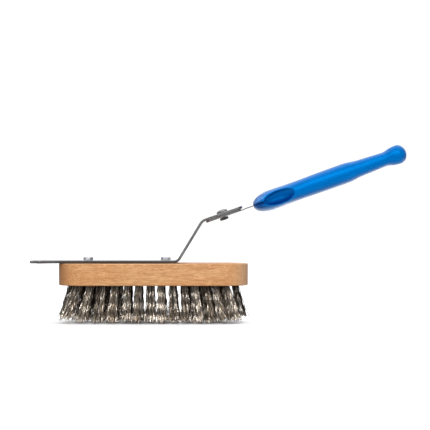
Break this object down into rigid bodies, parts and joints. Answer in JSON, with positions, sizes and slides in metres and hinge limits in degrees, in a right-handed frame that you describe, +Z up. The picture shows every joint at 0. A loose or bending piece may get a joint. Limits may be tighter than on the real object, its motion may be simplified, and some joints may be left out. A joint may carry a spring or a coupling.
{
  "type": "wire block brush",
  "caption": "Hand brush with crimped steel wire tufts in a beech block, a flat steel scraper blade at the front and a blue handle that swivels on a bolt.",
  "frame": {"origin": "centre of the bounding box's bottom face, in the plane of the wire tips that the brush stands on", "axes": "+X from the scraper blade towards the handle, +Y across the brush, +Z up from the wire tips to the block"},
  "size_m": [0.3966, 0.052, 0.1881],
  "materials": {
    "beech": "satin",
    "plate_steel": "satin",
    "tang_steel": "satin",
    "zinc": "gloss",
    "dark_zinc": "satin",
    "wire": "satin",
    "blue_plastic": "gloss"
  },
  "bodies": {
    "head": {"brush_block": "beech", "bracket_plate": "plate_steel", "block_screw_front": "zinc", "block_screw_rear": "zinc", "pivot_bolt": "zinc", "pivot_nut": "dark_zinc", "tuft_r1_c01": "wire", "tuft_r1_c02": "wire", "tuft_r1_c03": "wire", "tuft_r1_c04": "wire", "tuft_r1_c05": "wire", "tuft_r1_c06": "wire", "tuft_r1_c07": "wire", "tuft_r1_c08": "wire", "tuft_r1_c09": "wire", "tuft_r1_c10": "wire", "tuft_r1_c11": "wire", "tuft_r1_c12": "wire", "tuft_r1_c13": "wire", "tuft_r1_c14": "wire", "tuft_r2_c01": "wire", "tuft_r2_c02": "wire", "tuft_r2_c03": "wire", "tuft_r2_c04": "wire", "tuft_r2_c05": "wire", "tuft_r2_c06": "wire", "tuft_r2_c07": "wire", "tuft_r2_c08": "wire", "tuft_r2_c09": "wire", "tuft_r2_c10": "wire", "tuft_r2_c11": "wire", "tuft_r2_c12": "wire", "tuft_r2_c13": "wire", "tuft_r2_c14": "wire", "tuft_r2_c15": "wire", "tuft_r3_c01": "wire", "tuft_r3_c02": "wire", "tuft_r3_c03": "wire", "tuft_r3_c04": "wire", "tuft_r3_c05": "wire", "tuft_r3_c06": "wire", "tuft_r3_c07": "wire", "tuft_r3_c08": "wire", "tuft_r3_c09": "wire", "tuft_r3_c10": "wire", "tuft_r3_c11": "wire", "tuft_r3_c12": "wire", "tuft_r3_c13": "wire", "tuft_r3_c14": "wire"},
    "handle": {"handle_tang": "tang_steel", "tang_backing_plate": "tang_steel", "handle_grip": "blue_plastic"}
  },
  "joints": [
    {"name": "handle_swivel", "type": "hinge", "parent": "head", "child": "handle", "pos_m": [0.00318, 0, 0.11665], "axis": [-0.3272, 0, 0.9449], "range_deg": [-115, 115]}
  ]
}
